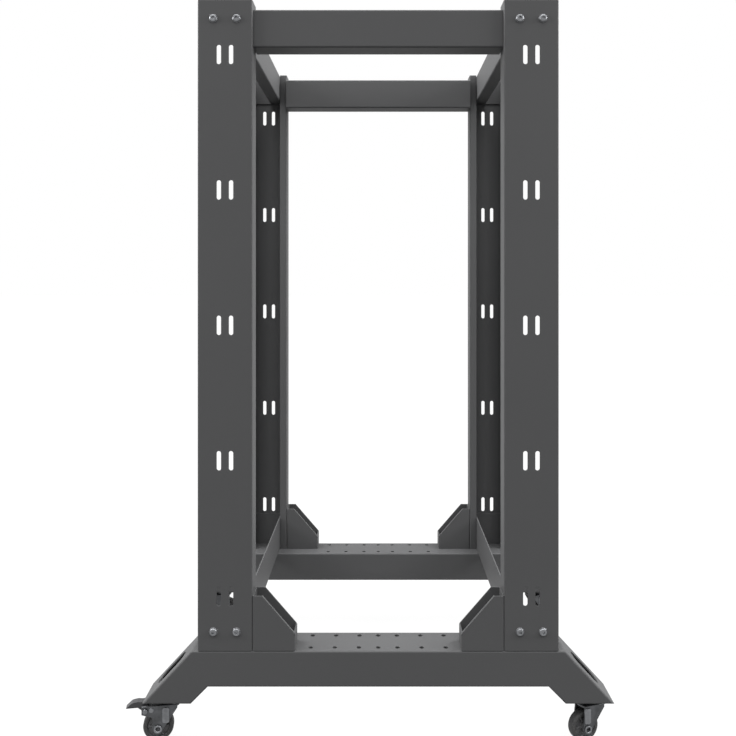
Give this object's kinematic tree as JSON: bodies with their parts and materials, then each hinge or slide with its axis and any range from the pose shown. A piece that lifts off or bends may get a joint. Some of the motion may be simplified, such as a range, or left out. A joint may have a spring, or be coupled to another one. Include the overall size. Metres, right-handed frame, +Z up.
{
  "type": "equipment rack stand",
  "caption": "Open-frame four-post rack stand with lipped channel posts, splayed base beams, cross beams, corner gussets and swivel casters with brakes.",
  "frame": {"origin": "floor point midway between the four posts, under the middle of the rack", "axes": "+X towards the front, along the base beams; +Y across the rack, towards the right side as seen by someone facing the front; +Z up"},
  "size_m": [0.8344, 0.5388, 1.231],
  "materials": {
    "powder_coat": "fine-grained matte charcoal powder coat",
    "caster_steel": "black zinc-plated pressed steel",
    "caster_bolt": "zinc-plated fastener",
    "caster_tyre": "dark rubber",
    "caster_hub": "moulded dark plastic",
    "brake_pedal": "moulded dark plastic"
  },
  "bodies": {
    "frame": {"base_beam_left": "powder_coat", "base_beam_right": "powder_coat", "top_bar_left": "powder_coat", "top_bar_right": "powder_coat", "lower_cross_front": "powder_coat", "lower_cross_rear": "powder_coat", "upper_cross_front": "powder_coat", "upper_cross_rear": "powder_coat", "post_front_left": "powder_coat", "gusset_front_left": "powder_coat", "caster_plate_front_left": "caster_steel", "post_front_right": "powder_coat", "gusset_front_right": "powder_coat", "caster_plate_front_right": "caster_steel", "post_rear_left": "powder_coat", "gusset_rear_left": "powder_coat", "caster_plate_rear_left": "caster_steel", "post_rear_right": "powder_coat", "gusset_rear_right": "powder_coat", "caster_plate_rear_right": "caster_steel"},
    "swivel_front_left": {"caster_fork_front_left": "caster_steel", "caster_axle_front_left": "caster_bolt"},
    "wheel_front_left": {"caster_tyre_front_left": "caster_tyre", "caster_hub_front_left": "caster_hub"},
    "swivel_front_right": {"caster_fork_front_right": "caster_steel", "caster_axle_front_right": "caster_bolt"},
    "wheel_front_right": {"caster_tyre_front_right": "caster_tyre", "caster_hub_front_right": "caster_hub"},
    "pedal_front_right": {"brake_pedal_front_right": "brake_pedal"},
    "swivel_rear_left": {"caster_fork_rear_left": "caster_steel", "caster_axle_rear_left": "caster_bolt"},
    "wheel_rear_left": {"caster_tyre_rear_left": "caster_tyre", "caster_hub_rear_left": "caster_hub"},
    "pedal_rear_left": {"brake_pedal_rear_left": "brake_pedal"},
    "swivel_rear_right": {"caster_fork_rear_right": "caster_steel", "caster_axle_rear_right": "caster_bolt"},
    "wheel_rear_right": {"caster_tyre_rear_right": "caster_tyre", "caster_hub_rear_right": "caster_hub"}
  },
  "joints": [
    {"name": "swivel_front_left", "type": "hinge", "parent": "frame", "child": "swivel_front_left", "pos_m": [0.356, -0.23, 0.062], "axis": [0, 0, 1], "continuous": true},
    {"name": "wheel_front_left", "type": "hinge", "parent": "swivel_front_left", "child": "wheel_front_left", "pos_m": [0.34364, -0.23402, 0.025], "axis": [-0.309, 0.9511, 0], "continuous": true},
    {"name": "swivel_front_right", "type": "hinge", "parent": "frame", "child": "swivel_front_right", "pos_m": [0.356, 0.23, 0.062], "axis": [0, 0, 1], "continuous": true},
    {"name": "wheel_front_right", "type": "hinge", "parent": "swivel_front_right", "child": "wheel_front_right", "pos_m": [0.36652, 0.23764, 0.025], "axis": [0.5878, -0.809, 0], "continuous": true},
    {"name": "pedal_front_right", "type": "hinge", "parent": "swivel_front_right", "child": "pedal_front_right", "pos_m": [0.3831, 0.24969, 0.056], "axis": [-0.5878, 0.809, 0], "range_deg": [0, 12]},
    {"name": "swivel_rear_left", "type": "hinge", "parent": "frame", "child": "swivel_rear_left", "pos_m": [-0.356, -0.23, 0.062], "axis": [0, 0, 1], "continuous": true},
    {"name": "wheel_rear_left", "type": "hinge", "parent": "swivel_rear_left", "child": "wheel_rear_left", "pos_m": [-0.3688, -0.23226, 0.025], "axis": [-0.1736, 0.9848, 0], "continuous": true},
    {"name": "pedal_rear_left", "type": "hinge", "parent": "swivel_rear_left", "child": "pedal_rear_left", "pos_m": [-0.38899, -0.23582, 0.056], "axis": [0.1736, -0.9848, 0], "range_deg": [0, 12]},
    {"name": "swivel_rear_right", "type": "hinge", "parent": "frame", "child": "swivel_rear_right", "pos_m": [-0.356, 0.23, 0.062], "axis": [0, 0, 1], "continuous": true},
    {"name": "wheel_rear_right", "type": "hinge", "parent": "swivel_rear_right", "child": "wheel_rear_right", "pos_m": [-0.3432, 0.23226, 0.025], "axis": [0.1736, -0.9848, 0], "continuous": true}
  ]
}
